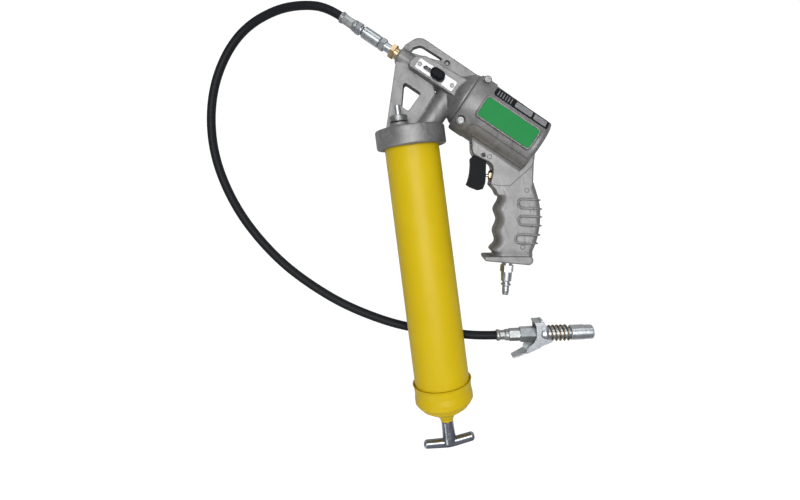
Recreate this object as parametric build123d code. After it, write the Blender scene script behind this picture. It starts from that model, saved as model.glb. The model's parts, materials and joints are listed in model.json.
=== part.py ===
"""Air-operated grease gun: cartridge barrel, cast pump head, air motor with pistol grip, whip hose
and quick-release coupler, lying on its side on a flat surface.

Frame: Y runs up the barrel towards the pump head, X towards the pistol grip, Z up from the surface.
The model is drawn about the barrel's axis, then moved so that the origin is under the gun's middle.
"""
from build123d import *
import os
from math import cos, pi, radians, sin, tan

# ---------------------------------------------------------------- driving dimensions, millimetres
AXIS_HEIGHT = 38.2          # barrel axis above the surface: the hose passes underneath

TUBE_RADIUS = 28.5          # steel cartridge barrel
TUBE_WALL = 1.0
TUBE_TOP = 12.0             # end of the barrel, screwed into the collar
TUBE_END = -258.0
COLLAR_RADIUS = 36.5
COLLAR_HEIGHT = 20.0
COLLAR_DEPTH = 14.0         # depth of the collar's barrel bore
CAP_LIP = -245.0            # rear cap, pressed steel
CAP_END = -287.0

MOTOR_ORIGIN = (-1.5, 97.6)  # centre of the nose face
MOTOR_TILT = -41.3           # motor axis, degrees from +X
NOSE_RADIUS = 9.5
PUMP_BORE = 4.0
SLIDE_GAP = 0.05             # radial gap of a running fit
SEAM = 84.7                  # where the head meets the motor housing
DRUM_DROP = -1.4             # the housing's round body is centred this far below the motor axis
HOUSING_RADIUS = 32.5
HOUSING_END = 172.0
TOP_FLAT = 25.0              # the housing's top is flat at this distance from the motor axis
LEDGE = 0.7                  # step below the label, down to the lower half of the housing
CYLINDER_BORE = 22.5
PISTON_FRONT = 136.0
PISTON_LENGTH = 10.0
VENT_LEAN = 45.6             # the exhaust vent faces between the near side and the top, degrees
VENT_FLAT = 28.5             # floor of its recess, from the motor axis
VENT_SHIFT = -2.7            # across the vent, from the foot of that distance
VENT_MIDDLE = 136.5
VENT_LENGTH = 63.0
VENT_WIDTH = 15.4
LABEL_MIDDLE = (132.5, -2.0)
LABEL_LENGTH = 63.0
LABEL_WIDTH = 24.0
SCREW_PLACE = 92.3
SCREW_HEIGHTS = (24.3, -24.3)
SEAT_RADIUS = 4.5            # spot face under each screw head
SEAT_LEVEL = 22.6
NECK_PLACE = 66.0            # round neck from the collar to the motor, square to the motor axis
NECK_RADIUS = 12.0
LOOP_HALF = 4.5              # half thickness of the hanging loop
WEB_HALF = 8.0               # half thickness of the triangular web

PLATE_Z = 20.0               # underside of the selector plate
KNOB_PLACE = 48.5

GRIP_ORIGIN = (83.5, -131.5)  # where the air plug leaves the grip's foot
GRIP_TILT = -10.7
GRIP_HALF = 15.0
BLOCK_HALF = 12.0            # half thickness of the block between housing and grip
BLOCK_FILLET = 5.0           # hollow corner between the block and the housing
TRIGGER_PIVOT = (71.7, -18.2)
TRIGGER_HALF = 7.0
VALVE_PLACE = (76.6, -39.4)

BLEEDER_PLACE = (-9.3, 19.0)  # X and height above mid-plane

HOSE_DIAMETER = 9.3
FERRULE_END = -72.2          # on the motor axis, where the hose leaves the first ferrule
COUPLER_PLACE = (65.6, -215.6)
COUPLER_TILT = -5.2
COUPLER_HEIGHT = 10.4        # coupler axis above the surface
LEVER_PIVOT = (49.5, 10.4)   # on the coupler: along its axis, and across it
LEVER_INSIDE = 8.8           # half the gap between the lever's side plates
COUPLER_LENGTH = 107.0

MOTOR = Pos(*MOTOR_ORIGIN, 0) * Rot(0, 0, MOTOR_TILT)
GRIP = Pos(*GRIP_ORIGIN, 0) * Rot(0, 0, GRIP_TILT)
COUPLER = Pos(*COUPLER_PLACE, COUPLER_HEIGHT - AXIS_HEIGHT) * Rot(0, 0, COUPLER_TILT)

# Hose centre line from the first ferrule to the coupler, heights above the surface.
GUN_MIDDLE = (53.7, -92.7)    # middle of the gun without its hose, in the frame of the barrel axis
HOSE_ROUTE = [
    (-55.7, 145.2, 38.2), (-70.0, 157.8, 38.2), (-98.0, 165.4, 33.5), (-128.1, 168.4, 22.5),
    (-163.4, 160.3, 11.5), (-190.5, 139.6, 5.5), (-210.8, 105.5, 4.65), (-221.3, 65.2, 4.65),
    (-221.9, 22.0, 4.65), (-211.7, -21.2, 4.65), (-193.8, -61.3, 4.65), (-165.5, -102.6, 4.65),
    (-133.3, -135.0, 4.65), (-93.4, -165.9, 4.65), (-38.9, -194.1, 4.65), (4.9, -204.4, 4.65),
    (40.0, -213.3, 10.4), (65.6, -215.6, 10.4),
]

pieces = {}                  # node name: shape, drawn about the barrel axis


# ---------------------------------------------------------------- shape helpers
def turned_x(outline):
    """Solid of revolution about X from (x, radius) points."""
    return revolve(make_face(Polyline(*outline, close=True)), Axis.X)


def turned_y(outline):
    """Solid of revolution about Y from (radius, y) points."""
    return revolve(make_face(Polyline(*outline, close=True)), Axis.Y)


def bar_x(sketch, start, end):
    """Sketch extruded along X."""
    return Pos(start, 0, 0) * Rot(0, 90, 0) * extrude(sketch, end - start)


def bar_y(sketch, start, end):
    """Sketch extruded along Y."""
    return Pos(0, start, 0) * Rot(-90, 0, 0) * extrude(sketch, end - start)


def rod_x(radius, start, end):
    return bar_x(Circle(radius), start, end)


def rod_y(radius, start, end):
    return bar_y(Circle(radius), start, end)


def rod_z(radius, low, high):
    return Pos(0, 0, low) * extrude(Circle(radius), high - low)


def tube_x(outer, inner, start, end):
    return bar_x(Circle(outer) - Circle(inner), start, end)


def hexagon_x(corner_radius, start, end, turn=0):
    """Hexagonal length with its end corners turned off."""
    chamfer_size = 0.1 * corner_radius
    blank = turned_x([(start, 0), (start, corner_radius - chamfer_size),
                      (start + chamfer_size, corner_radius),
                      (end - chamfer_size, corner_radius), (end, corner_radius - chamfer_size), (end, 0)])
    return blank & Rot(turn, 0, 0) * bar_x(RegularPolygon(corner_radius, 6), start, end)


def prism(outline, low, high, radii=None):
    """Polygon in the XY plane, with rounded corners where radii are given, from low to high in Z."""
    edge = FilletPolyline(*outline, radius=radii, close=True) if radii else Polyline(*outline, close=True)
    return Pos(0, 0, low) * extrude(make_face(edge), high - low)


def slab(length, width, corner, low, high):
    return Pos(0, 0, low) * extrude(RectangleRounded(length, width, corner), high - low)


def spring_z(radius, wire, length, turns):
    """Open coil spring standing on the XY plane."""
    path = Helix(pitch=(length - 2 * wire) / turns, height=length - 2 * wire, radius=radius)
    section = Plane(origin=path @ 0, z_dir=path % 0) * Circle(wire)
    return Pos(0, 0, wire) * sweep(section, path=path, is_frenet=True)


def spring_x(radius, wire, start, end, turns):
    return Pos(start, 0, 0) * Rot(0, 90, 0) * spring_z(radius, wire, end - start, turns)


def spring_y(radius, wire, start, end, turns):
    return Pos(0, start, 0) * Rot(-90, 0, 0) * spring_z(radius, wire, end - start, turns)


def screw_z(head_radius, head_height, shank_radius, shank_length, socket_radius):
    """Socket-head screw whose head sits on the XY plane."""
    head = rod_z(head_radius, 0, head_height)
    head = fillet(head.edges().group_by(Axis.Z)[-1], 0.25 * head_height)
    socket = Pos(0, 0, 0.4 * head_height) * extrude(RegularPolygon(socket_radius, 6), head_height)
    return head - socket + rod_z(shank_radius, -shank_length, 0.1)


# ---------------------------------------------------------------- barrel, cap and follower
def barrel():
    pieces["barrel_tube"] = bar_y(Circle(TUBE_RADIUS) - Circle(TUBE_RADIUS - TUBE_WALL), TUBE_END, TUBE_TOP)
    pieces["barrel_gasket"] = bar_y(Circle(TUBE_RADIUS) - Circle(TUBE_RADIUS - 3.5), TUBE_TOP, COLLAR_DEPTH)
    outside = [(30.9, CAP_LIP), (29.9, -247.5), (29.6, -254), (30.3, -259.5), (30.3, -264), (27.6, -267.9),
               (25.7, -269.1), (24.9, -270.9), (20.4, -274), (14.2, -277.6), (10.2, -279.8), (8.8, -282.4),
               (7.2, -284.4), (6.6, CAP_END)]
    inside = [(5.2, CAP_END), (5.6, -283.8), (8.4, -281.2), (9.2, -278.9), (13.6, -276.4), (19.8, -272.9),
              (23.9, -269.9), (24.6, -268.3), (26.6, -267.0), (28.7, -263.2), (28.7, -246.5),
               (29.8, CAP_LIP)]
    pieces["rear_cap"] = turned_y(outside + inside)
    pieces["rod_gasket"] = turned_y([(3.3, -281.3), (8, -281.3), (5.3, -284), (5.0, -286.5), (3.3, -286.5)])


def follower():
    rubber = [(4.2, -8), (20, -8), (25, -5), (27.2, 2), (27.2, 3), (26.2, 3), (23.5, -3),
              (19.5, -5.5), (4.2, -5.5)]
    pieces["follower_cup"] = turned_y([(r, y + 2) for r, y in rubber])
    pieces["follower_front_plate"] = bar_y(Circle(17) - Circle(4.2), -3.5, -2.0)
    pieces["follower_back_plate"] = bar_y(Circle(18) - Circle(4.2), -7.6, -6.0)
    pieces["follower_nut"] = bar_y(RegularPolygon(5.6, 6) - Circle(3.05), -12.6, -7.6)
    pieces["follower_bush"] = bar_y(Circle(4.2) - Circle(3.05), -7.6, -2.0)
    pieces["follower_spring"] = spring_y(21, 1.2, -262.5, -7.9, 10)


def plunger_rod():
    head = rod_y(5, -1.9, -0.4)
    pieces["plunger_rod"] = rod_y(3.0, -300, -1.9) + head
    pieces["rod_catch"] = Pos(0, -270, 0) * Box(8.4, 4, 2.4) + Pos(0, -270, 0) * rod_y(4.0, -3, 3)
    pieces["rod_catch"] -= rod_y(3.0, -280, -260)
    stem = turned_y([(3.0, -287.7), (5.8, -287.7), (6.2, -288.3), (6.4, -298), (6.9, -305),
                     (6.9, -310), (0, -310),
                     (0, -300), (3.0, -300)])
    pieces["t_handle"] = stem + crossbar()


def crossbar():
    """Crescent bar of the T-handle: nearly straight on the gun's side, bowed on the other."""
    plan = [(-27.4, -305.9), (0, -306.9), (26.4, -302.9), (26.4, -311.0), (0, -315.6), (-27.4, -313.6)]
    bar = prism(plan, -4.2, 4.2, radii=[3.7, 60, 3.7, 3.7, 40, 3.7])
    rims = bar.edges().group_by(Axis.Z)
    return fillet(rims[0] + rims[-1], 3.0)


# ---------------------------------------------------------------- pump head
def head():
    collar = turned_y([(TUBE_RADIUS + 0.1, 0), (34.5, 0), (36.1, 0.8), (COLLAR_RADIUS, 2.4),
                       (COLLAR_RADIUS, 18.6), (35.9, 19.6), (34.5, COLLAR_HEIGHT), (0, COLLAR_HEIGHT),
                       (0, COLLAR_DEPTH), (TUBE_RADIUS + 0.1, COLLAR_DEPTH)])
    neck = MOTOR * Pos(NECK_PLACE, 0, 0) * rod_y(NECK_RADIUS, -64, -5)
    neck -= Box(200, 2 * COLLAR_HEIGHT - 4, 100)
    spigot = 13.3
    shell = turned_x([(0, 0), (0, 7.8), (1.7, NOSE_RADIUS), (57, NOSE_RADIUS), (64, 13.2), (72, 19.6),
                      (79, 26.4),
                      (82, 28.6), (SEAM, 29), (SEAM, CYLINDER_BORE + 1.9),
                       (SEAM + spigot, CYLINDER_BORE + 1.9),
                      (SEAM + spigot, 21), (80, 21), (63, 8), (63, 0)])
    pad = prism([(18, -7.4), (16.5, -2), (18.5, 4.5), (27, 10.6), (60, 12.8), (80, 14.4),
                 (73, -7.4)], 0, PLATE_Z,
                radii=[3, 4, 4, 6, 20, 1, 1])
    pad = fillet(pad.edges().group_by(Axis.Z)[-1], 0.9)
    loop = prism([(0.4, 4), (0.4, 12), (7.6, 28.3), (84, 28.0), (84, 4)], -LOOP_HALF, LOOP_HALF,
                 radii=[0.5, 3, 12, 0.5, 0.5])
    window = prism([(9, 8.5), (9, 14), (14, 20.4), (42, 21.2),
                    (38, 17.8)], -20, 20, radii=[0.8, 4, 6, 0.7, 6])
    web = prism([(2.5, -8), (34.3, -73.9), (55.7, -55.1), (55.2, -13.4), (50.9, -9.5), (30, 0)],
                -WEB_HALF, WEB_HALF)
    web_window = prism([(21.3, -21.4), (42.7, -21.4), (42.1, -43.8),
                        (33.7, -43.8)], -20, 20, radii=[2, 2, 2, 2])
    motor_side = shell + (loop - window) + (web - web_window) + pad
    # The bell is hollow, so what the ribs added inside it is taken out again.
    hollow = turned_x([(63, 0), (63, 8), (80, 21), (SEAM + spigot + 1, 21), (SEAM + spigot + 1, 0)])
    pump_bore = rod_x(PUMP_BORE, 16, 70)
    outlet_port = rod_x(2.0, 12, 17)
    nut_thread = rod_x(5.1, -1, 12)
    selector_pocket = Pos(44.5, 0, 0) * slab(30.6, 8.4, 1.0, 13, PLATE_Z + 1)
    blind_hole = Pos(47, 20.7, 0) * rod_z(2.6, 0, 10)
    screw_holes = [Pos(a, 0, 0) * rod_z(1.4, 15.5, PLATE_Z + 1) for a in (27.2, 65.8)]
    drillings = [hollow, pump_bore, outlet_port, nut_thread, selector_pocket, blind_hole] + screw_holes
    boss = Pos(BLEEDER_PLACE[0], 0, BLEEDER_PLACE[1]) * rod_y(9.6, COLLAR_HEIGHT - 2, 24)
    grease_way = Pos(22, 0, 0) * rod_y(3.5, COLLAR_DEPTH - 1, 76)
    bleed_way = Pos(BLEEDER_PLACE[0], 0, BLEEDER_PLACE[1]) * rod_y(4.0, COLLAR_DEPTH - 1, 26)
    casting = collar + neck + boss + MOTOR * motor_side
    for drilling in drillings:
        casting -= MOTOR * drilling
    pieces["head_casting"] = casting - grease_way - bleed_way


def bleeder():
    place = Pos(BLEEDER_PLACE[0], 0, BLEEDER_PLACE[1])
    disc = turned_y([(0, 24.9), (8.6, 24.9), (9.2, 25.5), (9.2, 30.6), (8.6, 31.2), (0, 31.2)])
    notches = 36
    for index in range(notches):
        disc -= Rot(0, 360 * index / notches, 0) * Pos(9.5, 28, 0) * Box(0.9, 8, 0.7)
    stem = rod_y(3.9, COLLAR_DEPTH, 25)
    body = disc + stem - rod_y(3.45, 27, 32) - rod_y(1.2, COLLAR_DEPTH - 1, 28)
    pieces["bleeder_body"] = place * body
    button = turned_y([(0, 29.8), (3.4, 29.8), (3.4, 41.4), (2.8, 42), (0, 42)]) + rod_y(1.1, 18, 30)
    pieces["bleeder_button"] = place * button
    pieces["bleeder_spring"] = place * spring_y(2.4, 0.3, 27.1, 29.7, 4)


def outlet():
    """Brass outlet nut with the check ball, and the zinc swivel fittings on the motor axis."""
    nut = hexagon_x(8.75, -9.0, -4.7, 12) + rod_x(6.15, -4.8, 0) + rod_x(5.0, -0.1, 11.9)
    pieces["outlet_nut"] = MOTOR * (nut - rod_x(3.0, -10, 13))
    ball_radius = 2.7
    ball_place = 10.0
    pieces["check_ball"] = MOTOR * Pos(ball_place, 0, 0) * Sphere(ball_radius)
    pieces["check_spring"] = MOTOR * spring_x(2.0, 0.35, -2.4, ball_place - ball_radius, 7)
    shank = rod_x(2.95, -9.1, -2.6) + rod_x(4.85, -17.3, -9.0) + hexagon_x(7.25, -22.5, -17.2)
    shank += rod_x(3.4, -46.0, -22.4) + rod_x(4.6, -23.0, -22.4)
    pieces["swivel_shank"] = MOTOR * (shank - rod_x(1.6, -47, 0))
    sleeve = turned_x([(-44.1, 3.46), (-44.1, 5.9), (-43.4, 6.55), (-24.0, 6.55), (-23.2, 5.9),
                       (-23.2, 3.46)])
    pieces["swivel_sleeve"] = MOTOR * sleeve
    pieces["swivel_seal"] = MOTOR * tube_x(4.4, 3.4, -45.4, -44.4)
    hose_hex = tube_x(4.6, 3.4, -47.5, -45.5) + hexagon_x(7.25, -51.8, -47.4, 20) - rod_x(1.6, -60, -40)
    hose_hex -= rod_x(3.4, -46.0, -40)
    pieces["hose_hex"] = MOTOR * hose_hex
    pieces["hose_ferrule"] = MOTOR * Pos(FERRULE_END, 0, 0) * ferrule(-FERRULE_END - 51.8)


def ferrule(length):
    """Crimped hose ferrule from the hose end at 0 to the fitting, with an eight-sided waist."""
    outline = [(0, 0), (0, 5.4), (0.8, 6.2), (2.6, 6.2), (4.0, 5.5), (length - 5, 5.5), (length - 3.5, 6.2),
               (length - 0.6, 6.2), (length, 5.6), (length, 0)]
    crimp = bar_x(RegularPolygon(5.45, 8), 3.9, length - 4.9)
    ends = bar_x(Circle(7), 0, 4.0) + bar_x(Circle(7), length - 5, length)
    return turned_x(outline) & (crimp + ends)


# ---------------------------------------------------------------- selector on the head
def selector():
    plate = Pos(46.5, 0, 0) * slab(44.3, 10.6, 1.4, PLATE_Z, PLATE_Z + 1.2)
    slot = Pos(43.5, 0, 0) * slab(23.5, 4.5, 2.2, PLATE_Z - 1, PLATE_Z + 3)
    plate -= slot
    for a in (27.2, 65.8):
        plate -= Pos(a, 0, 0) * rod_z(1.5, PLATE_Z - 1, PLATE_Z + 3)
    pieces["selector_plate"] = MOTOR * plate
    screws = [Pos(a, 0, PLATE_Z + 1.2) * screw_z(2.3, 1.4, 1.3, 5.0, 1.2) for a in (27.2, 65.8)]
    pieces["selector_screws"] = MOTOR * Compound(children=screws)
    grip = slab(15.4, 9.8, 4.6, PLATE_Z + 1.5, PLATE_Z + 11.5)
    grip = fillet(grip.edges().group_by(Axis.Z)[-1], 2.6)
    knob = Pos(KNOB_PLACE, 0, 0) * grip + Pos(KNOB_PLACE, 0, 0) * slab(8.0, 3.9, 1.9, PLATE_Z - 0.4,
               PLATE_Z + 2)
    pieces["selector_knob"] = MOTOR * knob
    pieces["selector_slide"] = MOTOR * Pos(KNOB_PLACE, 0, 0) * slab(12, 7.8, 1.0, PLATE_Z - 5,
                                           PLATE_Z - 0.4)


# ---------------------------------------------------------------- air motor
def piston():
    rear = PISTON_FRONT + PISTON_LENGTH
    land = CYLINDER_BORE - 0.4
    groove = CYLINDER_BORE - 3
    body = turned_x([(PISTON_FRONT, 0), (PISTON_FRONT, land - 0.8), (PISTON_FRONT + 1, land),
                     (PISTON_FRONT + 3, land),
                     (PISTON_FRONT + 3, groove), (PISTON_FRONT + 6, groove), (PISTON_FRONT + 6, land),
                     (rear - 1, land), (rear, land - 0.8), (rear, 0)])
    body -= rod_x(3.0, PISTON_FRONT - 1, PISTON_FRONT + 6)
    pieces["air_piston"] = MOTOR * body
    pieces["piston_seal"] = MOTOR * tube_x(CYLINDER_BORE - SLIDE_GAP, groove + 0.05, PISTON_FRONT + 3.1,
                                                 PISTON_FRONT + 5.9)
    plunger = rod_x(PUMP_BORE - SLIDE_GAP, 44, PISTON_FRONT) + rod_x(2.95, PISTON_FRONT - 1,
                    PISTON_FRONT + 5.9)
    pieces["pump_plunger"] = MOTOR * plunger
    pieces["return_spring"] = MOTOR * spring_x(6.2, 1.2, 63.3, PISTON_FRONT - 0.3, 11)
    pieces["spigot_seal"] = MOTOR * tube_x(CYLINDER_BORE + 1.9, CYLINDER_BORE - 1, SEAM + 13.4, SEAM + 14.9)


def grip_sections(grow_side, grow_back):
    """Grip body lofted through rounded sections; the front edge has three finger grooves."""
    stations = [  # height above the foot, front edge, back edge, half thickness
        (4.5, -24.5, 21.8, 14.6), (12.5, -19.5, 23.4, 14.8), (20.0, -15.2, 25.6, 15),
         (26.5, -15.6, 27.4, 15),
        (32.5, -17.3, 28.4, 15), (38.0, -15.9, 29.1, 15), (44.0, -14.2, 29.4, 15),
         (49.5, -16.0, 29.3, 14.9),
        (55.0, -17.9, 29.0, 14.7), (60.5, -16.0, 28.4, 14.3), (66.0, -13.7, 27.2, 13.7),
         (72.0, -15.3, 25.4, 13),
        (78.0, -19.4, 23.4, 12.4), (84.0, -23.4, 21.4, 12)]
    sections = []
    for height, front, back, half in stations:
        back += grow_back
        half += grow_side
        corners = [(front, -half), (back, -half), (back, half), (front, half)]
        outline = make_face(FilletPolyline(*corners, radius=[9.5, 6, 6, 9.5], close=True))
        sections.append(Pos(0, height, 0) * Rot(-90, 0, 0) * outline)
    return loft(sections)


def grip_ribs():
    """Three U-shaped ribs on both sides that run out past the back as fins."""
    ribs = None
    for start, middle, half in ((4.4, 62.2, 5.2), (5.6, 45.0, 5.2), (3.4, 26.6, 5.0)):
        outer = [(start, middle - half), (40, middle - half), (40, middle + half), (start, middle + half)]
        inner_half = half - 1.3
        inner = [(start + 1.3, middle - inner_half), (41, middle - inner_half), (41, middle + inner_half),
                 (start + 1.3, middle + inner_half)]
        shape = prism(outer, -20, 20, radii=[4.6, 0.2, 0.2, 4.6]) - prism(inner, -21, 21, radii=[3.3,
                      0.2, 0.2, 3.3])
        ribs = shape if ribs is None else ribs + shape
    return ribs


def drum_part(shape):
    """Shape drawn about the housing's own centre line, in the motor's frame."""
    return Pos(0, DRUM_DROP, 0) * shape


def housing():
    radius, end = HOUSING_RADIUS, HOUSING_END
    drum = drum_part(turned_x([(SEAM + 0.05, 0), (SEAM + 0.05, radius - 1.4), (SEAM + 1.2, radius - 0.3),
                               (SEAM + 4, radius), (end - 4.2, radius), (end - 2.4, radius - 0.6),
                               (end - 0.9, radius - 2.2), (end, radius - 4.6), (end, 0)]))
    drum -= Pos(151.5, TOP_FLAT + 10, 0) * Rot(0, 0, -1.2) * Box(95, 20, 80)
    below_ledge = prism([(101.5, -19.8), (180, -19.8), (180, -60),
                         (101.5, -60)], -50, 50, radii=[8, 0.5, 0.5, 8])
    skin = drum_part(rod_x(radius + 3, 100, end + 1) - rod_x(radius - LEDGE, 99, end + 2))
    drum -= below_ledge & skin
    label_place = Pos(*LABEL_MIDDLE, 0)
    label_pad = slab(LABEL_LENGTH, LABEL_WIDTH, 4, 20, 33)
    label_pocket = slab(LABEL_LENGTH - 2.8, LABEL_WIDTH - 2.8, 2.8, 31.7, 36)
    for side in (label_pad, mirror(label_pad, Plane.XY)):
        drum += label_place * side
    for side in (label_pocket, mirror(label_pocket, Plane.XY)):
        drum -= label_place * side
    for b in SCREW_HEIGHTS:
        seat = Pos(SCREW_PLACE, b, 0)
        drum += seat * rod_z(SEAT_RADIUS, -SEAT_LEVEL, SEAT_LEVEL)
        for side in (1, -1):
            drum -= seat * Pos(0, 0, side * (SEAT_LEVEL + 10)) * Cylinder(SEAT_RADIUS, 20)
    # Outline of the block that carries the trigger and joins the grip, with a tail at the back.
    outline = [(62, 4), (60.4, -11.4), (61.6, -16.2), (80.2, -28.7), (78.6, -37.4), (74.6, -48.2),
               (79.2, -55),
               (81, -62), (116.8, -62), (119, -50), (121.6, -34), (125.6, -18), (126.4, -4), (90, 20)]
    rounding = [2, 4, 2, 8, 3, 1.5, 4, 4, 4, 6, 6, 3, 6, 10]
    block = prism(outline, -BLOCK_HALF, BLOCK_HALF, radii=rounding)
    block = chamfer(block.edges().group_by(Axis.Z)[-1] + block.edges().group_by(Axis.Z)[0], 1.0)
    # Hollow corner along the underside of the round body, on both faces of the block.
    corner_z = BLOCK_HALF + BLOCK_FILLET
    corner_b = DRUM_DROP - ((radius - LEDGE + BLOCK_FILLET) ** 2 - corner_z ** 2) ** 0.5
    web = Pos(0, corner_b + 7) * Rectangle(2 * corner_z, 14)
    for side in (1, -1):
        web -= Pos(side * corner_z, corner_b) * Circle(BLOCK_FILLET)
    block += MOTOR * bar_x(web, 90, end - 1.5) & prism(outline, -30, 30, radii=rounding)
    grip = grip_sections(0, 0) + (grip_ribs() & grip_sections(0.9, 2.2))
    foot = prism([(-26.4, 6.2), (-25.2, 1.6), (20.5, 0.0), (23.6, 3.2), (23.4, 7.8), (20, 9)], -16, 16,
                 radii=[1.5, 2, 2.2, 1.6, 1.5, 1])
    foot = fillet(foot.edges().group_by(Axis.Z)[-1] + foot.edges().group_by(Axis.Z)[0], 0.9)
    body = MOTOR * drum + block + GRIP * (grip + foot)
    # Inside: air cylinder, spigot bore, trigger slot, valve bore and the air way up the grip.
    cylinder = rod_x(CYLINDER_BORE, SEAM - 5, 150) + rod_x(CYLINDER_BORE + 2, SEAM - 5, SEAM + 15)
    trigger_slot = prism([(55, -24), (55, 0), (70.5, -6.5), (82, -20), (86, -27), (79.4, -36.5),
                          (77.4, -48.2),
                          (60, -60)], -TRIGGER_HALF - 0.5, TRIGGER_HALF + 0.5)
    return body, cylinder, trigger_slot


def housing_casting():
    body, cylinder, trigger_slot = housing()
    pin_hole = Pos(*TRIGGER_PIVOT, 0) * rod_z(1.9, -30, 30)
    valve_axis = Pos(*VALVE_PLACE, 0) * Rot(0, 0, GRIP_TILT)
    valve_bore = valve_axis * rod_x(4.4, 0, 21.2)
    air_way = GRIP * rod_y(4.0, -5, 92)
    plug_thread = GRIP * rod_y(5.1, -5, 12)
    to_cylinder = Pos(99, -36, 0) * rod_y(3.0, 0, 34)
    vent = vent_recess()
    body = body - MOTOR * cylinder - trigger_slot - pin_hole - valve_bore - air_way - plug_thread - to_cylinder
    body -= MOTOR * vent
    for b in SCREW_HEIGHTS:
        for side in (1, -1):
            body -= MOTOR * Pos(SCREW_PLACE, b, side * 18.5) * Cylinder(2.35, 11)
    mark_ring = Circle(2.4) - Circle(2.0)
    for place, level in (((77.5, -20.6), BLOCK_HALF), ((110.8, -59.5), 13.4), ((98.7, -116.2), GRIP_HALF)):
        body -= Pos(*place, level - 0.25) * extrude(mark_ring, 3)
    seam = Polyline((76.0, -48.6), (83.1, -51.0), (94.8, -52.5), (119, -36.1), (121.6, -32.7))
    body -= Pos(0, 0, BLOCK_HALF - 0.35) * extrude(trace(seam, 0.6), 3)
    pieces["housing_casting"] = body


def vent_place(height):
    """Plane of the exhaust vent, height above the flat's bottom."""
    return Pos(VENT_MIDDLE, 0, 0) * Rot(-VENT_LEAN, 0, 0) * Pos(0, VENT_SHIFT, VENT_FLAT + height)


def vent_recess():
    return vent_place(0) * extrude(RectangleRounded(VENT_LENGTH, VENT_WIDTH, 3), 10)


def vent():
    frame = extrude(RectangleRounded(VENT_LENGTH - 0.2, VENT_WIDTH - 0.2, 2.9), 1.6)
    openings = [(-20, 18), (2.2, 20), (21.6, 15)]
    for middle, length in openings:
        frame -= Pos(middle, 0, 0.6) * extrude(RectangleRounded(length, VENT_WIDTH - 4, 1), 2)
    pieces["vent_frame"] = MOTOR * vent_place(0) * frame
    louvres = [Pos(-27.5 + 3 * index, 0, 0.6) * extrude(Rectangle(1.4, VENT_WIDTH - 4.2),
                   0.8) for index in range(6)]
    pieces["vent_louvres"] = MOTOR * vent_place(0) * Compound(children=louvres)
    for name, (middle, length) in zip(("vent_panel_front", "vent_panel_rear"), openings[1:]):
        panel = Pos(middle, 0, 0.6) * extrude(RectangleRounded(length - 0.4, VENT_WIDTH - 4.4, 0.8), 1.2)
        pieces[name] = MOTOR * vent_place(0) * panel


def housing_trim():
    label = slab(LABEL_LENGTH - 3.2, LABEL_WIDTH - 3.2, 2.6, 31.7, 32.4)
    place = MOTOR * Pos(*LABEL_MIDDLE, 0)
    pieces["label_near"] = place * label
    pieces["label_far"] = place * mirror(label, Plane.XY)
    screws = []
    for b in SCREW_HEIGHTS:
        head_up = Pos(SCREW_PLACE, b, SEAT_LEVEL) * screw_z(3.4, 2.2, 2.25, 9.0, 1.8)
        screws += [head_up, mirror(head_up, Plane.XY)]
    pieces["housing_screws"] = MOTOR * Compound(children=screws)


def air_inlet():
    """Zinc air plug in the grip's foot; its axis is the grip's own."""
    outline = [(0, 0), (5.6, 0), (5.6, -3.0), (0, -3.0)]
    plug = turned_y(outline) + bar_y(RegularPolygon(6.95, 6), -9.8, -3.0) + rod_y(5.0, -0.1, 11.8)
    nipple = [(0, -9.7), (5.8, -9.7), (5.8, -12), (5.5, -18.6), (5.2, -19.6), (3.9, -20.2), (3.9, -22.0),
              (5.25, -22.6), (5.25, -23.6), (3.65, -25.0), (3.65, -30.0), (3.3, -33.0), (3.0, -34.2),
               (0, -34.2)]
    plug += turned_y(nipple)
    pieces["air_plug"] = GRIP * (plug - rod_y(2.6, -40, 20))


# ---------------------------------------------------------------- trigger and its valve
def trigger():
    # Finger side, foot, back and the hidden arm that carries the pin.
    outline = [(58.6, -19.6), (58.2, -25.7), (56.2, -35), (53.2, -42.6), (51.2, -45.9), (54.8, -49.1),
               (62.3, -53.2),
               (67.2, -52.6), (70.3, -47.2), (71.6, -41.6), (73.2, -31.4), (74.4, -24), (76.4, -19.0),
                (74.0, -13.6),
               (69.0, -13.6), (63.4, -15.8)]
    radii = [2, 6, 10, 6, 1.2, 3, 1.2, 1.2, 5, 6, 6, 2, 2.5, 2, 2, 2]
    lever = prism(outline, -TRIGGER_HALF, TRIGGER_HALF, radii=radii)
    pieces["trigger"] = lever - Pos(*TRIGGER_PIVOT, 0) * rod_z(1.95, -20, 20)
    pieces["trigger_pin"] = Pos(*TRIGGER_PIVOT, 0) * rod_z(1.88, -BLOCK_HALF + 0.5, BLOCK_HALF - 0.5)
    place = Pos(*VALVE_PLACE, 0) * Rot(0, 0, GRIP_TILT)
    body = hexagon_x(5.3, -1.0, 2.2, 30) + rod_x(4.35, 2.1, 18.5) - rod_x(1.6, -2, 19) - rod_x(2.8, 6, 19)
    pieces["valve_body"] = place * body
    stem = rod_x(1.55, -4.2, 12.5) + rod_x(2.5, 12.4, 14.4)
    pieces["valve_stem"] = place * fillet(stem.edges().group_by(Axis.X)[0], 0.8)
    pieces["valve_spring"] = place * spring_x(2.1, 0.35, 14.6, 21.0, 5)


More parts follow.
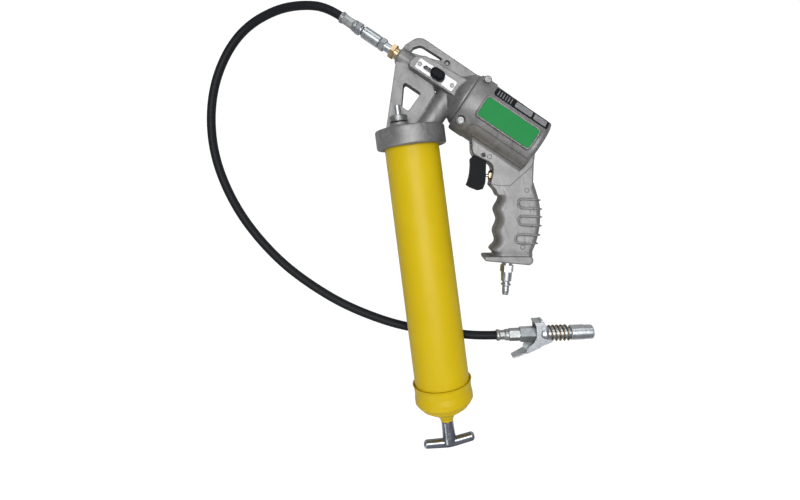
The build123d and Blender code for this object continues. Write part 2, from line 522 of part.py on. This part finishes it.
# ---------------------------------------------------------------- hose and coupler
def hose():
    route = [Vector(x, y, z - AXIS_HEIGHT) for x, y, z in HOSE_ROUTE]
    route[0] = (MOTOR * Pos(FERRULE_END, 0, 0)).position
    route[-1] = COUPLER.position
    radii = []
    length = 0
    for before, corner, after in zip(route, route[1:], route[2:]):
        runs = (corner - before, after - corner)
        half_turn = radians(runs[0].get_angle(runs[1])) / 2
        shorter = min(run.length for run in runs)
        radii.append(0.45 * shorter / tan(half_turn))
    line = FilletPolyline(*route, radius=radii)
    section = Plane(origin=line @ 0, z_dir=line % 0) * Circle(HOSE_DIAMETER / 2)
    tube = sweep(section, path=line)
    expected = pi * (HOSE_DIAMETER / 2) ** 2 * line.length
    print("hose radii", [round(radius) for radius in radii], "length", round(line.length, 1))
    print("hose volume / section x length", round(tube.volume / expected, 4))
    pieces["hose"] = tube


def coupler():
    """Quick-release coupler along its own X axis, from the hose end to the mouth."""
    length = 14.0
    parts = {"coupler_ferrule": ferrule(length)}
    adapter = hexagon_x(6.95, length, 26.0, 10)
    parts["coupler_adapter"] = adapter + rod_x(4.0, 25.9, 34)
    nut = hexagon_x(8.5, 26.1, 43.5, 0) - rod_x(4.0, 25, 34.1) - rod_x(1.6, 34, 45)
    parts["coupler_nut"] = nut
    core = turned_x([(43.6, 1.6), (43.6, 5.6), (54.5, 5.6), (57.5, 6.3), (57.5, 6.9), (78.6, 6.9),
                     (78.6, 5.2),
                     (103, 5.2), (103, 4.6), (84, 4.6), (84, 1.6)])
    parts["coupler_core"] = core
    parts["coupler_seal"] = tube_x(4.5, 1.6, 84.1, 87)
    jaws = [Rot(90 * index, 0, 0) * jaw() for index in range(4)]
    parts["coupler_jaws"] = Compound(children=jaws)
    boss = turned_x([(46.4, 5.7), (46.4, 6.6), (50.5, 8.4), (54, 8.6), (57, 7.4), (57, 6.95), (54.3, 5.7)])
    ear = Pos(LEVER_PIVOT[0], 9.1, 0) * Box(5, 6.2, 8)
    boss = boss + ear - rod_x(5.7, 40, 54.3) - Pos(*LEVER_PIVOT, 0) * rod_z(1.2, -20, 20)
    parts["coupler_boss"] = boss
    parts["coupler_spring"] = spring_x(7.95, 0.85, 57.6, 81.6, 5)
    sleeve = turned_x([(82, 5.3), (82, 7.4), (82.8, 8.0), (97, 8.0), (97.4, 7.6), (105.6, 7.6),
                       (COUPLER_LENGTH, 6.6),
                       (COUPLER_LENGTH, 4.6), (105, 5.3)])
    parts["coupler_sleeve"] = sleeve
    parts.update(lever())
    for name, shape in parts.items():
        pieces[name] = COUPLER * shape


def jaw():
    """One of four jaws inside the mouth."""
    ring = turned_x([(88, 3.35), (88, 4.5), (102.6, 4.5), (102.6, 2.6), (100.5, 2.6), (99.6, 3.35)])
    wedge = prism([(85, 0.5), (110, 0.5), (110, 10), (85, 10)], 0.5, 10)
    return ring & wedge


def lever():
    """Release lever bent from sheet: two side plates, a thumb pad and a bridge over the body."""
    sheet = 1.3
    outside = LEVER_INSIDE + sheet
    top = 14.6
    side = [(41.0, top), (52.2, top), (53.4, 11.0), (53.0, 7.2), (48.6, 6.0), (46.6, 2.7),
            (48.4, -1.2), (52.0, -3.4),
            (59.9, -4.6), (59.6, -6.6), (46, -11.8), (31, -18.1), (31.4, -13.6), (39.8, -6.6), (43.0, -1.4),
            (42.8, 10.6)]
    rounding = [0.8, 1, 1.6, 1.4, 1.6, 2, 2.4, 3, 0.8, 0.9, 8, 1, 4, 3, 3, 1]
    shape = prism(side, LEVER_INSIDE, outside, rounding) + prism(side, -outside, -LEVER_INSIDE, rounding)
    pad = prism([(47, -12.3), (46, -12.7), (17.4, -24.7), (16.4, -24.0), (16.6, -22.9), (46.4, -11.2)],
                -outside, outside, [0.3, 8, 0.7, 0.5, 0.5, 0.3])
    taper = [(10, -4.4), (36, -outside), (60, -outside), (60, outside), (36, outside), (10, 4.4)]
    shape += pad & extrude(Plane.XZ * make_face(Polyline(*taper, close=True)), 60, both=True)
    shape += Pos(46.7, top - sheet / 2, 0) * Box(10.2, sheet, 2 * outside)
    shape += Pos(50.0, top + 0.2, 0) * Box(2.4, 2.6, 2 * outside - 6)
    pivot = Pos(*LEVER_PIVOT, 0)
    shape -= pivot * rod_z(1.25, -20, 20)
    return {"coupler_lever": shape, "coupler_lever_pin": pivot * rod_z(1.2, -outside - 0.3, outside + 0.3)}


def build():
    barrel()
    follower()
    plunger_rod()
    head()
    bleeder()
    outlet()
    selector()
    piston()
    housing_casting()
    vent()
    housing_trim()
    air_inlet()
    trigger()
    hose()
    coupler()


def export():
    """Move everything so that the origin is on the surface under the middle of the gun."""
    shift = Pos(-GUN_MIDDLE[0], -GUN_MIDDLE[1], AXIS_HEIGHT)
    os.makedirs("parts", exist_ok=True)
    for name, shape in pieces.items():
        export_step(shift * shape, f"parts/{name}.step")


build()
export()
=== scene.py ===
"""Air-operated grease gun lying on a pale surface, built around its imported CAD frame.

Lengths are in metres in the frame's own axes. Most shapes are drawn in gun millimetres: X across from
the barrel's axis, Y up the barrel from the collar's mouth, Z up from the barrel's mid-plane.
"""
import json
import math

import bmesh
import bpy
from mathutils import Matrix, Vector


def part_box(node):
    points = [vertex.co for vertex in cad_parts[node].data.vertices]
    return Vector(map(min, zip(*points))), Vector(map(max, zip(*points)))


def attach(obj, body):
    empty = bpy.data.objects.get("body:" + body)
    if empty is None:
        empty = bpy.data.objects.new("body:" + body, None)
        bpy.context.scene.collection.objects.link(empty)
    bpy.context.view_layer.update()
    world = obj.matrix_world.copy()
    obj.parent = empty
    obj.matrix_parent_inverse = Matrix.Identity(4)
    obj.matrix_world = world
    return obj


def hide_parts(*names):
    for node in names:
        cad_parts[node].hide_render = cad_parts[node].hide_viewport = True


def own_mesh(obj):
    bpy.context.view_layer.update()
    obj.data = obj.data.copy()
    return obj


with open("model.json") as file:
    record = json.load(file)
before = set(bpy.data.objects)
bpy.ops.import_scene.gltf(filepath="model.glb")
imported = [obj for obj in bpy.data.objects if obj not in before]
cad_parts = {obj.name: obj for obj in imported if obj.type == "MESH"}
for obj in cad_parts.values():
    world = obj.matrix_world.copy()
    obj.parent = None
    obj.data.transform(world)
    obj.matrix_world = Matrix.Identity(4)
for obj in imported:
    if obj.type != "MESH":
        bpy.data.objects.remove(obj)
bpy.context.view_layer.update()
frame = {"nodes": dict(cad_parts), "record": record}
nodes = frame["nodes"]
MM = 0.001
WELD = 1e-6                          # loose triangles of a node are joined within this distance, metres

# ------------------------------------------------------------------ places, from the frame
TUBE_TOP = 12.0                      # the barrel's end lies this far inside the collar
MOTOR_TILT = math.radians(-41.3)

tube_low, tube_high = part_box("barrel_tube")
gun_origin = Vector(((tube_low[0] + tube_high[0]) / 2, tube_high[1] - TUBE_TOP * MM,
                     (tube_low[2] + tube_high[2]) / 2))


def at(x, y, z=0.0):
    """Point in gun millimetres, as a place in the frame."""
    return gun_origin + Vector((x, y, z)) * MM


def tilted(origin, angle):
    """Matrix from a tilted drawing in millimetres to the frame."""
    return Matrix.Translation(origin) @ Matrix.Rotation(angle, 4, "Z") @ Matrix.Scale(MM, 4)


MOTOR = tilted(at(-1.5, 97.6), MOTOR_TILT)


# ------------------------------------------------------------------ camera and light
def camera():
    """Straight down on the gun from close by, turned so that the barrel leans to the left."""
    height = 0.456                   # above the barrel's mid-plane, metres
    data = bpy.data.cameras.new("camera")
    data.sensor_width = 36
    data.lens = 19.6
    data.shift_x = -0.031
    data.shift_y = -0.0725
    data.clip_start = 0.01
    data.clip_end = 20
    eye = bpy.data.objects.new("camera", data)
    eye.location = at(7.4, -47.9) + Vector((0, 0, height))
    eye.rotation_euler = (0, 0, math.radians(-7.356))
    bpy.context.collection.objects.link(eye)
    bpy.context.scene.camera = eye


def area_light(name, place, aim, size, watts, colour=(1, 1, 1)):
    data = bpy.data.lights.new(name, "AREA")
    data.shape = "RECTANGLE"
    data.size, data.size_y = size
    data.energy = watts
    data.color = colour
    lamp = bpy.data.objects.new(name, data)
    lamp.location = place
    lamp.rotation_euler = (Vector(aim) - Vector(place)).to_track_quat("-Z", "Y").to_euler()
    bpy.context.collection.objects.link(lamp)


def studio():
    area_light("overhead_softbox", (0.0, 0.06, 1.3), (0, 0, 0), (1.0, 1.0), 15)
    area_light("upper_fill", (0.5, 1.2, 0.8), (0, 0, 0), (0.7, 0.4), 3)
    area_light("lower_fill", (-0.9, -1.0, 0.8), (0, 0, 0), (0.7, 0.4), 2)
    world = bpy.data.worlds.new("studio")
    world.use_nodes = True
    world.node_tree.nodes["Background"].inputs["Color"].default_value = (0.9, 0.93, 1.0, 1)
    world.node_tree.nodes["Background"].inputs["Strength"].default_value = 0.25
    bpy.context.scene.world = world
    settings = bpy.context.scene.view_settings
    settings.view_transform = "Standard"
    settings.look = "None"


# ------------------------------------------------------------------ shader helpers
class Signal:
    """A shader socket that can be used in arithmetic."""

    def __init__(self, paint, socket):
        self.paint = paint
        self.socket = socket

    def _maths(self, operation, first, second):
        return self.paint.node("ShaderNodeMath", {"operation": operation}, [first, second])

    def __add__(self, other):
        return self._maths("ADD", self, other)

    def __radd__(self, other):
        return self._maths("ADD", other, self)

    def __sub__(self, other):
        return self._maths("SUBTRACT", self, other)

    def __rsub__(self, other):
        return self._maths("SUBTRACT", other, self)

    def __mul__(self, other):
        return self._maths("MULTIPLY", self, other)

    def __rmul__(self, other):
        return self._maths("MULTIPLY", other, self)

    def __pow__(self, other):
        return self._maths("POWER", self, other)


class Paint:
    """One procedural material, named after the finish it gives."""

    def __init__(self, name):
        self.material = bpy.data.materials.new(name)
        self.material.use_nodes = True
        self.tree = self.material.node_tree
        self.shader = self.tree.nodes["Principled BSDF"]
        self._place = None

    def node(self, kind, settings, inputs, output=0):
        """Adds a node: its settings first, then its sockets by place or by name."""
        made = self.tree.nodes.new(kind)
        for key, value in settings.items():
            if key == "stops":
                self._stops(made.color_ramp, value)
            else:
                setattr(made, key, value)
        pairs = inputs.items() if isinstance(inputs, dict) else enumerate(inputs)
        for key, value in pairs:
            self.feed(made.inputs[key], value)
        return Signal(self, made.outputs[output])

    @staticmethod
    def _stops(ramp, stops):
        while len(ramp.elements) < len(stops):
            ramp.elements.new(0.5)
        for element, (position, shade) in zip(ramp.elements, stops):
            element.position = position
            element.color = (shade, shade, shade, 1)

    def feed(self, socket, value):
        if isinstance(value, Signal):
            self.tree.links.new(value.socket, socket)
        else:
            socket.default_value = value

    def place(self):
        """Object coordinates, in metres."""
        if self._place is None:
            self._place = self.node("ShaderNodeTexCoord", {}, {}, "Object")
        return self._place

    def noise(self, size, detail=3.0, rough=0.55, stretch=(1, 1, 1), warp=0.0):
        """Noise whose features are about size metres across."""
        scaled = self.node("ShaderNodeMapping", {}, {"Vector": self.place(), "Scale": stretch})
        return self.node("ShaderNodeTexNoise", {}, {"Vector": scaled, "Scale": 1 / size, "Detail": detail,
                                                    "Roughness": rough, "Distortion": warp}, "Fac")

    def ramp(self, signal, *stops):
        """Maps a value through (position, level) stops."""
        return self.node("ShaderNodeValToRGB", {"stops": stops}, {"Fac": signal}, "Color")

    def groove_and_shade_lines(self, paths, rings, half_width):
        """1 on thin lines through gun millimetres, fading to 0 at half_width from them."""
        x = (self.node("ShaderNodeSeparateXYZ", {}, [self.place()], "X") - gun_origin.x) * 1000
        y = (self.node("ShaderNodeSeparateXYZ", {}, [self.place()], "Y") - gun_origin.y) * 1000
        squares = []
        for path in paths:
            for (ax, ay), (bx, by) in zip(path, path[1:]):
                run = Vector((bx - ax, by - ay))
                along = ((x - ax) * run.x + (y - ay) * run.y) * (1 / run.length_squared)
                share = self.node("ShaderNodeClamp", {}, [along, 0.0, 1.0])
                off_x = x - ax - share * run.x
                off_y = y - ay - share * run.y
                squares.append(off_x * off_x + off_y * off_y)
        for cx, cy, radius in rings:
            off = ((x - cx) * (x - cx) + (y - cy) * (y - cy)) ** 0.5 - radius
            squares.append(off * off)
        nearest = squares[0]
        for square in squares[1:]:
            nearest = self.node("ShaderNodeMath", {"operation": "MINIMUM"}, [nearest, square])
        return self.node("ShaderNodeClamp", {}, [1 - nearest * (1 / half_width ** 2), 0.0, 1.0])

    def blend(self, factor, low, high):
        """Colour from low to high as factor goes from 0 to 1."""
        made = self.tree.nodes.new("ShaderNodeMix")
        made.data_type = "RGBA"
        self.feed(made.inputs[0], factor)
        self.feed(made.inputs[6], low if isinstance(low, Signal) else (*low, 1))
        self.feed(made.inputs[7], high if isinstance(high, Signal) else (*high, 1))
        return Signal(self, made.outputs[2])

    def bump(self, height, strength, distance):
        bumped = self.node("ShaderNodeBump", {}, {"Height": height, "Strength": strength,
                                                  "Distance": distance}, "Normal")
        self.feed(self.shader.inputs["Normal"], bumped)

    def finish(self, **values):
        """Sets sockets of the shader, named with underscores for spaces."""
        for key, value in values.items():
            socket = self.shader.inputs[key.replace("_", " ")]
            if isinstance(value, tuple) and len(value) == 3:
                value = (*value, 1)
            self.feed(socket, value)
        return self.material


# ------------------------------------------------------------------ finishes
def cast_aluminium():
    """Raw die casting: cloudy grey with darker flow marks, small dents and a fine sandy grain."""
    paint = Paint("cast_aluminium")
    mottle = paint.noise(0.0030, 5, 0.62, warp=0.3)
    cloud = paint.noise(0.016, 3)
    flow = paint.ramp(paint.noise(0.009, 5, 0.65, stretch=(1, 0.5, 1), warp=0.8), (0.34, 0.0), (0.50, 1.0))
    shade = paint.ramp(mottle * 0.5 + cloud * 0.5, (0.36, 0.0), (0.64, 1.0))
    plain = paint.blend(shade, (0.192, 0.190, 0.189), (0.282, 0.276, 0.274))
    stained = paint.blend(flow, (0.178, 0.176, 0.176), plain)
    parting = [(76.2, -48.6), (83.1, -51.0), (94.8, -52.5), (108.0, -43.6), (119.0, -36.1), (121.0, -32.7)]
    groove_and_shade_lines = paint.groove_and_shade_lines([parting], [(77.5, -20.6, 2.2), (110.8, -59.5, 2.2), (98.7, -116.2, 2.2)], 0.55)
    # Painted shade: the parting seam and three round pin marks are darkened towards near-black in colour;
    # the bump below also cuts them in as a real groove.
    colour = paint.blend(groove_and_shade_lines * 0.75, stained, (0.070, 0.068, 0.066))
    grain = paint.noise(0.0007, 3, 0.7)
    dents = paint.noise(0.0030, 3, 0.6)
    paint.bump(grain * 0.45 + dents * 0.55 - groove_and_shade_lines * 0.8, 0.38, 0.00028)
    return paint.finish(Base_Color=colour, Metallic=0.55, Roughness=0.37 + mottle * 0.22)


def yellow_coat():
    """Glossy yellow coat over a slightly uneven tube."""
    paint = Paint("yellow_powder_coat")
    cloud = paint.noise(0.03, 3)
    colour = paint.blend(cloud, (0.60, 0.42, 0.004), (0.66, 0.475, 0.007))
    peel = paint.noise(0.0013, 2, 0.5)
    paint.bump(peel, 0.10, 0.0002)
    return paint.finish(Base_Color=colour, Roughness=0.34 + cloud * 0.08, Specular_IOR_Level=0.22)


def rubber(name, colour, rough, gloss=0.25):
    paint = Paint(name)
    scuff = paint.noise(0.006, 4, 0.6)
    shade = paint.blend(scuff, colour, tuple(c * 1.7 for c in colour))
    paint.bump(paint.noise(0.0006, 2), 0.12, 0.0001)
    return paint.finish(Base_Color=shade, Roughness=rough + scuff * 0.12, Specular_IOR_Level=gloss)


def plated(name, dark, light, rough, grain=0.0012, strength=0.10, metallic=1.0):
    """Plated or turned metal with faint cloudy colour and fine scratches."""
    paint = Paint(name)
    cloud = paint.noise(0.005, 4, 0.6)
    colour = paint.blend(paint.ramp(cloud, (0.35, 0.0), (0.65, 1.0)), dark, light)
    paint.bump(paint.noise(grain, 3), strength, 0.0001)
    return paint.finish(Base_Color=colour, Metallic=metallic, Roughness=rough + cloud * 0.10)


def plain_label():
    paint = Paint("green_label")
    cloud = paint.noise(0.02, 2)
    colour = paint.blend(cloud, (0.010, 0.215, 0.050), (0.014, 0.250, 0.062))
    paint.bump(paint.noise(0.0015, 2), 0.05, 0.0001)
    return paint.finish(Base_Color=colour, Roughness=0.42 + cloud * 0.06, Specular_IOR_Level=0.12)


def make_finishes():
    return {
        "cast_aluminium": cast_aluminium(),
        "yellow_coat": yellow_coat(),
        "chrome": plated("polished_chrome", (0.30, 0.32, 0.355), (0.40, 0.42, 0.46), 0.20, strength=0.03),
        "zinc": plated("bright_zinc", (0.42, 0.45, 0.47), (0.54, 0.565, 0.585), 0.28,
                       strength=0.06, metallic=0.9),
        "grey_zinc": plated("grey_zinc", (0.17, 0.178, 0.175), (0.32, 0.33, 0.322), 0.36, metallic=0.85),
        # Painted shade: near-black steel for the trigger pin, darkened for the shade inside its hole.
        "dark_steel": plated("oiled_steel", (0.020, 0.021, 0.022), (0.040, 0.041, 0.042), 0.45,
                             metallic=0.6),
        "dull_zinc": plated("dull_zinc", (0.27, 0.285, 0.285), (0.44, 0.455, 0.45), 0.34,
                            strength=0.15, metallic=0.8),
        "brass": plated("turned_brass", (0.46, 0.33, 0.19), (0.62, 0.47, 0.29), 0.28),
        "spring_bronze": plated("spring_wire", (0.20, 0.145, 0.09), (0.36, 0.28, 0.18), 0.34),
        "steel": plated("machined_steel", (0.40, 0.41, 0.42), (0.52, 0.53, 0.54), 0.28),
        "rubber": rubber("black_rubber", (0.0060, 0.0070, 0.0090), 0.46, 0.20),
        "piston_alloy": plated("machined_alloy", (0.50, 0.50, 0.50), (0.60, 0.60, 0.60), 0.30),
        "black_plastic": rubber("black_plastic", (0.0036, 0.0042, 0.0056), 0.46, 0.11),
        "louvre": plated("grey_stamped_metal", (0.22, 0.23, 0.245), (0.33, 0.34, 0.355), 0.38,
                         metallic=0.8),
        "silver_plate": plated("satin_silver", (0.36, 0.36, 0.375), (0.50, 0.50, 0.52), 0.30, metallic=0.9),
        "green_label": plain_label(),
    }


# Zinc parts whose plating has gone grey, and the trigger pin painted near-black for the shade it sits in
# inside its hole.
WORN_AND_SHADED = {"housing_screws": "grey_zinc", "selector_screws": "grey_zinc", "bleeder_body": "grey_zinc",
        "trigger_pin": "dark_steel"}


def paint_nodes(finishes):
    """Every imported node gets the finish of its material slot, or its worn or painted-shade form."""
    for entry in frame["record"]["subparts"]:
        shape = nodes[entry["node"]]
        material = finishes[WORN_AND_SHADED.get(entry["node"], entry["material_slot"])]
        if not shape.material_slots:
            shape.data.materials.append(material)
        for slot in shape.material_slots:
            slot.material = material


# ------------------------------------------------------------------ the hose
# Centre line from the first ferrule to the coupler, millimetres: gun X and Y, height above the surface.
HOSE_ROUTE = [
    (-55.7, 145.2, 38.2), (-70.0, 157.8, 38.2), (-98.0, 165.4, 33.5), (-128.1, 168.4, 22.5),
    (-163.4, 160.3, 11.5), (-190.5, 139.6, 5.5), (-210.8, 105.5, 4.65), (-221.3, 65.2, 4.65),
    (-221.9, 22.0, 4.65), (-211.7, -21.2, 4.65), (-193.8, -61.3, 4.65), (-165.5, -102.6, 4.65),
    (-133.3, -135.0, 4.65), (-93.4, -165.9, 4.65), (-38.9, -194.1, 4.65), (4.9, -204.4, 4.65),
    (40.0, -213.3, 10.4), (65.6, -215.6, 10.4),
]
HOSE_DIAMETER = 9.3


def nurbs_line(name, points, radius):
    """Smooth cord through control points in metres."""
    data = bpy.data.curves.new(name, "CURVE")
    data.dimensions = "3D"
    data.bevel_depth = radius
    data.bevel_resolution = 8
    data.resolution_u = 12
    data.use_fill_caps = True
    spline = data.splines.new("NURBS")
    spline.points.add(len(points) - 1)
    for point, place in zip(spline.points, points):
        point.co = (*place, 1)
    spline.order_u = 3
    spline.use_endpoint_u = True
    line = bpy.data.objects.new(name, data)
    bpy.context.collection.objects.link(line)
    return line


def hose(finishes):
    route = [Vector((gun_origin.x + x * MM, gun_origin.y + y * MM, z * MM)) for x, y, z in HOSE_ROUTE]
    line = nurbs_line("whip_hose", route, HOSE_DIAMETER * MM / 2)
    line.data.materials.append(finishes["rubber"])
    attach(line, "root")
    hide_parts("hose")


def merged_copy(name, node):
    """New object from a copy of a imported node, with its loose triangles joined up."""
    data = nodes[node].data.copy()
    mesh = bmesh.new()
    mesh.from_mesh(data)
    bmesh.ops.remove_doubles(mesh, verts=mesh.verts, dist=WELD)
    bmesh.ops.recalc_face_normals(mesh, faces=mesh.faces)
    mesh.to_mesh(data)
    mesh.free()
    piece = bpy.data.objects.new(name, data)
    bpy.context.collection.objects.link(piece)
    return piece


# Each coil spring with the joint that presses it.
SPRINGS = {
    "follower_spring": "plunger_slide", "return_spring": "piston_stroke", "check_spring": "check_open",
    "bleeder_spring": "bleeder_press", "valve_spring": "valve_push", "coupler_spring": "sleeve_retract",
}
SPRING_CLEARANCE = 0.3 * MM
SHORTEST_COIL = 0.08                 # least share of its length that a pressed coil keeps


def springs(finishes):
    """Coils copied from their imported nodes and smooth-shaded; how far each would shorten with its joint
    is worked out but not applied.
    """
    joints = {joint["name"]: joint for joint in frame["record"]["behaviour"]["joints"]}
    slots = {entry["node"]: entry["material_slot"] for entry in frame["record"]["subparts"]}
    for node, joint_name in SPRINGS.items():
        joint = joints[joint_name]
        way = Vector(joint["axis"]).normalized()
        piece = merged_copy(node.replace("_spring", "_coil"), node)
        places = [vertex.co.dot(way) for vertex in piece.data.vertices]
        length = max(places) - min(places)
        piece.data.materials.clear()
        piece.data.materials.append(finishes[slots[node]])
        piece.data.polygons.foreach_set("use_smooth", [True] * len(piece.data.polygons))
        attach(piece, "root")
        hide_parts(node)
        max(SHORTEST_COIL, 1 - (joint["range_m"][1] + SPRING_CLEARANCE) / length)
        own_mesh(piece)


PUMP_BORE = 4.0                      # radius
BORE_REACH = 0.5                     # skin this close outside the bore belongs to its wall
BORE_ROOM = 0.1                      # room left round the plunger


def open_bore(mesh, start, end, radius):
    """Puts the wall of a bore on the motor's axis back to its true radius, in millimetres."""
    to_motor = MOTOR.inverted()
    for vertex in mesh.verts:
        place = to_motor @ vertex.co
        across = math.hypot(place.y, place.z)
        if start < place.x < end and 0.1 < across < radius + BORE_REACH:
            share = (radius + BORE_ROOM) / across
            vertex.co = MOTOR @ Vector((place.x, place.y * share, place.z * share))


def cast_skin(name, node, finish, voxel, rounds, bore=None):
    """Casting with soft edges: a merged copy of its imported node, given an even skin and smoothed."""
    piece = merged_copy(name, node)
    skinning = piece.modifiers.new("even_skin", "REMESH")
    skinning.mode = "VOXEL"
    skinning.voxel_size = voxel * MM
    skin = bpy.data.meshes.new_from_object(piece.evaluated_get(bpy.context.evaluated_depsgraph_get()))
    piece.modifiers.clear()
    mesh = bmesh.new()
    mesh.from_mesh(skin)
    for _ in range(rounds):
        bmesh.ops.smooth_vert(mesh, verts=mesh.verts, factor=0.5, use_axis_x=True, use_axis_y=True,
                              use_axis_z=True)
    if bore:
        open_bore(mesh, *bore)
    for face in mesh.faces:
        face.smooth = True
    mesh.to_mesh(skin)
    mesh.free()
    piece.data = skin
    skin.materials.clear()
    skin.materials.append(finish)
    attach(piece, "root")
    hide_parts(node)


def floor():
    mesh = bmesh.new()
    bmesh.ops.create_grid(mesh, x_segments=1, y_segments=1, size=4.0)
    data = bpy.data.meshes.new("floor")
    mesh.to_mesh(data)
    mesh.free()
    plane = bpy.data.objects.new("floor", data)
    bpy.context.collection.objects.link(plane)
    # Seen straight on the sheet is nearly white with faint shadows; what it throws back is dimmer.
    paint = Paint("pale_floor")
    surface = paint.finish(Base_Color=(0.55, 0.55, 0.55), Roughness=0.9, Specular_IOR_Level=0.0)
    seen = paint.node("ShaderNodeLightPath", {}, {}, "Is Camera Ray")
    glow = paint.node("ShaderNodeEmission", {}, {"Color": (1, 1, 1, 1), "Strength": 1.25}, "Emission")
    body = Signal(paint, paint.shader.outputs["BSDF"])
    both = paint.node("ShaderNodeMixShader", {}, [seen * 0.80, body, glow], "Shader")
    paint.feed(paint.tree.nodes["Material Output"].inputs["Surface"], both)
    data.materials.append(surface)


finishes = make_finishes()
camera()
studio()
floor()
paint_nodes(finishes)
hose(finishes)
springs(finishes)
cast_skin("cast_head", "head_casting", finishes["cast_aluminium"], 0.60, 3, bore=(17, 63, PUMP_BORE))
cast_skin("cast_housing", "housing_casting", finishes["cast_aluminium"], 0.56, 2)
